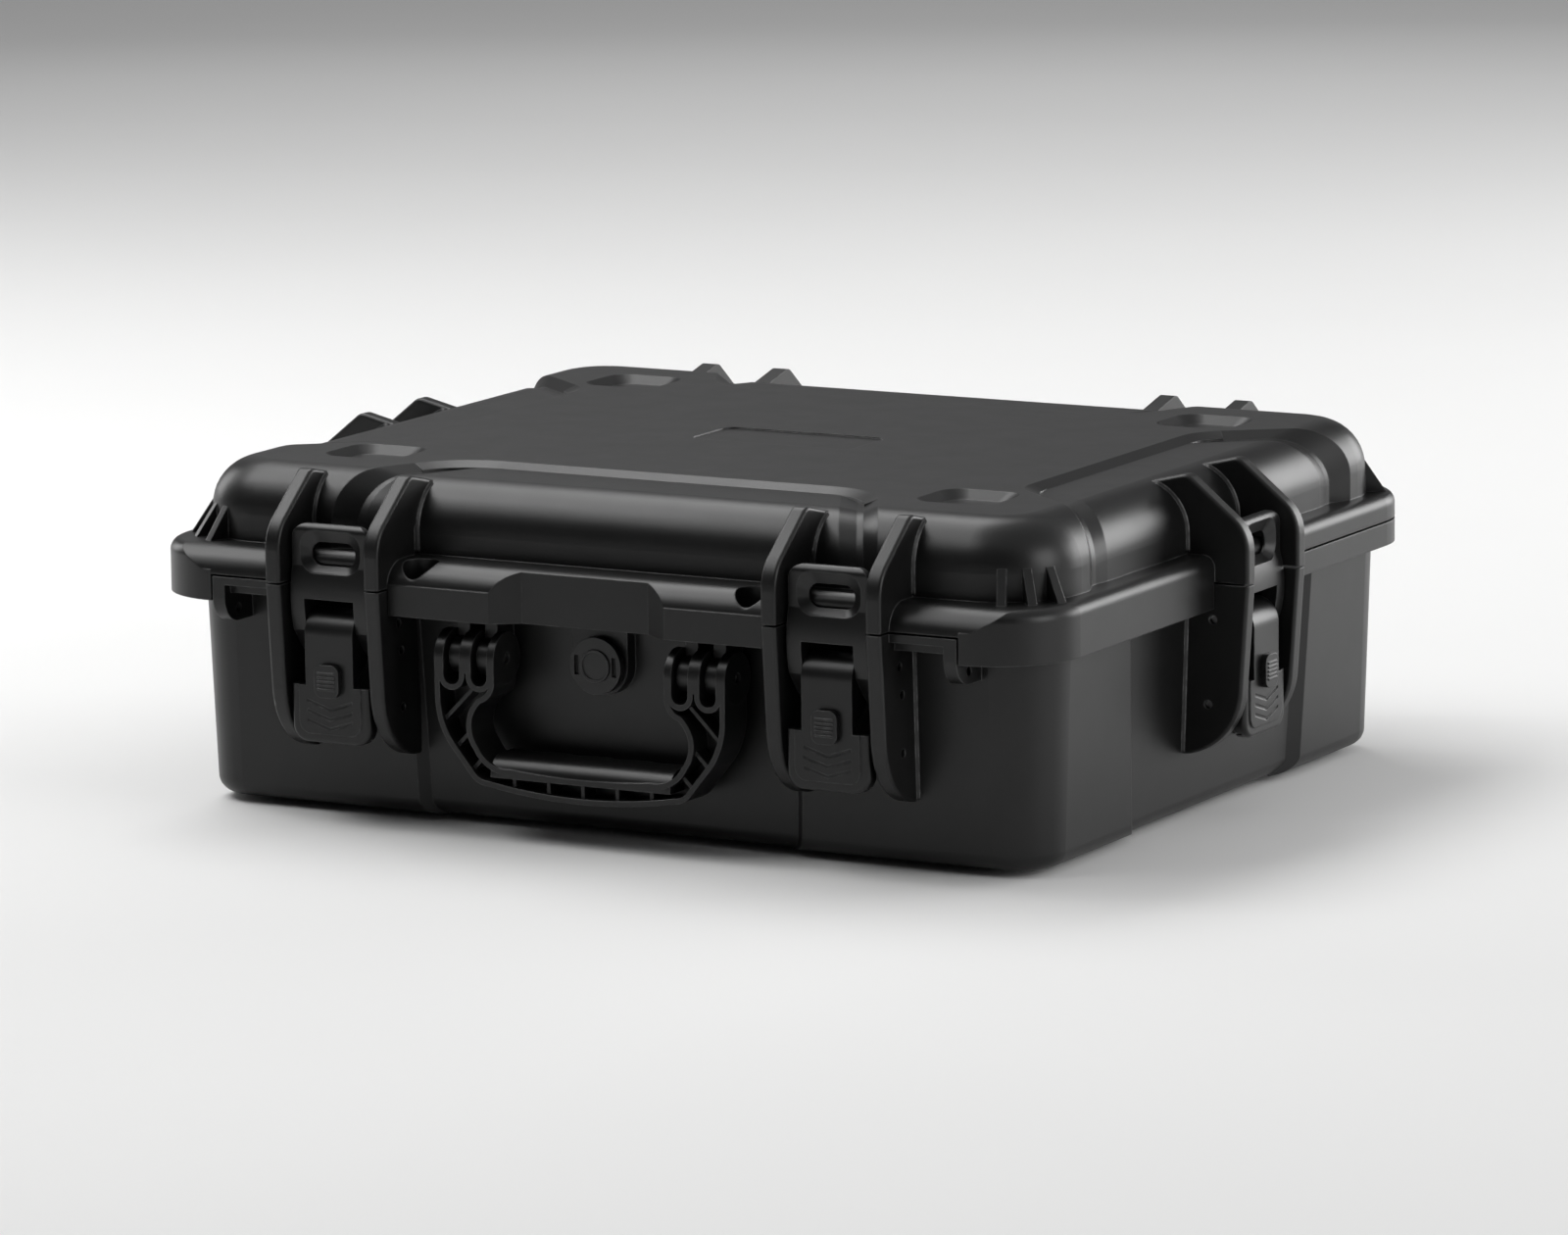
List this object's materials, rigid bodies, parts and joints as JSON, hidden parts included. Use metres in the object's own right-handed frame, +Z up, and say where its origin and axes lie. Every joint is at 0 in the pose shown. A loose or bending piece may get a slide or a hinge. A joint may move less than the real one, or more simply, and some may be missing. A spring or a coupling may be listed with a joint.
{
  "type": "equipment case",
  "caption": "Hard-shell plastic equipment case with a hinged lid, over-centre latches on the front and ends, a folding handle and a pressure valve.",
  "frame": {"origin": "centre of the bounding box in plan, at the soles of the feet", "axes": "+X to the right seen from the handle, -Y towards the handle, +Z up"},
  "size_m": [0.504, 0.427, 0.162],
  "materials": {
    "shell": "satin moulded",
    "fittings": "satin moulded",
    "valve": "satin moulded",
    "rubber": "matt",
    "steel": "bright drawn"
  },
  "bodies": {
    "base": {"base_shell": "shell", "hinge_pin_left": "steel", "hinge_pin_right": "steel", "valve_body": "valve", "valve_cap": "valve", "valve_seal": "rubber", "valve_nut": "valve", "foot_front_left": "rubber", "foot_front_right": "rubber", "foot_rear_left": "rubber", "foot_rear_right": "rubber", "front_left_lever_pin": "steel", "front_left_catch_pin": "steel", "front_right_lever_pin": "steel", "front_right_catch_pin": "steel", "right_lever_pin": "steel", "right_catch_pin": "steel", "left_lever_pin": "steel", "left_catch_pin": "steel"},
    "lid": {"lid_shell": "shell", "lid_seal": "rubber"},
    "handle": {"handle": "fittings", "handle_pin_right": "steel", "handle_pin_left": "steel"},
    "front_left_lever": {"front_left_lever": "fittings"},
    "front_left_claw": {"front_left_claw": "fittings", "front_left_claw_pin": "steel"},
    "front_left_button": {"front_left_button": "fittings"},
    "front_right_lever": {"front_right_lever": "fittings"},
    "front_right_claw": {"front_right_claw": "fittings", "front_right_claw_pin": "steel"},
    "front_right_button": {"front_right_button": "fittings"},
    "right_lever": {"right_lever": "fittings"},
    "right_claw": {"right_claw": "fittings", "right_claw_pin": "steel"},
    "right_button": {"right_button": "fittings"},
    "left_lever": {"left_lever": "fittings"},
    "left_claw": {"left_claw": "fittings", "left_claw_pin": "steel"},
    "left_button": {"left_button": "fittings"}
  },
  "joints": [
    {"name": "lid_hinge", "type": "hinge", "parent": "base", "child": "lid", "pos_m": [0, 0.2055, 0.113], "axis": [-1, 0, 0], "range_deg": [0, 100]},
    {"name": "handle_hinge", "type": "hinge", "parent": "base", "child": "handle", "pos_m": [0, -0.192, 0.0835], "axis": [-1, 0, 0], "range_deg": [0, 100]},
    {"name": "front_left_lever_hinge", "type": "hinge", "parent": "base", "child": "front_left_lever", "pos_m": [-0.13, -0.1957, 0.096], "axis": [-1, 0, 0], "range_deg": [0, 90]},
    {"name": "front_left_claw_hinge", "type": "hinge", "parent": "front_left_lever", "child": "front_left_claw", "pos_m": [-0.13, -0.1935, 0.083], "axis": [-1, 0, 0], "range_deg": [-100, 0]},
    {"name": "front_left_button_slide", "type": "slide", "parent": "front_left_lever", "child": "front_left_button", "axis": [0, 0, 1], "range_m": [0, 0.004]},
    {"name": "front_right_lever_hinge", "type": "hinge", "parent": "base", "child": "front_right_lever", "pos_m": [0.13, -0.1957, 0.096], "axis": [-1, 0, 0], "range_deg": [0, 90]},
    {"name": "front_right_claw_hinge", "type": "hinge", "parent": "front_right_lever", "child": "front_right_claw", "pos_m": [0.13, -0.1935, 0.083], "axis": [-1, 0, 0], "range_deg": [-100, 0]},
    {"name": "front_right_button_slide", "type": "slide", "parent": "front_right_lever", "child": "front_right_button", "axis": [0, 0, 1], "range_m": [0, 0.004]},
    {"name": "right_lever_hinge", "type": "hinge", "parent": "base", "child": "right_lever", "pos_m": [0.2342, 0, 0.096], "axis": [0, -1, 0], "range_deg": [0, 90]},
    {"name": "right_claw_hinge", "type": "hinge", "parent": "right_lever", "child": "right_claw", "pos_m": [0.232, 0, 0.083], "axis": [0, -1, 0], "range_deg": [-100, 0]},
    {"name": "right_button_slide", "type": "slide", "parent": "right_lever", "child": "right_button", "axis": [0, 0, 1], "range_m": [0, 0.004]},
    {"name": "left_lever_hinge", "type": "hinge", "parent": "base", "child": "left_lever", "pos_m": [-0.2342, 0, 0.096], "axis": [0, 1, 0], "range_deg": [0, 90]},
    {"name": "left_claw_hinge", "type": "hinge", "parent": "left_lever", "child": "left_claw", "pos_m": [-0.232, 0, 0.083], "axis": [0, 1, 0], "range_deg": [-100, 0]},
    {"name": "left_button_slide", "type": "slide", "parent": "left_lever", "child": "left_button", "axis": [0, 0, 1], "range_m": [0, 0.004]}
  ],
  "couplings": [
    {"joint": "front_left_claw_hinge", "follows": "front_left_lever_hinge", "ratio": -1.1},
    {"joint": "front_right_claw_hinge", "follows": "front_right_lever_hinge", "ratio": -1.1},
    {"joint": "right_claw_hinge", "follows": "right_lever_hinge", "ratio": -1.1},
    {"joint": "left_claw_hinge", "follows": "left_lever_hinge", "ratio": -1.1}
  ]
}
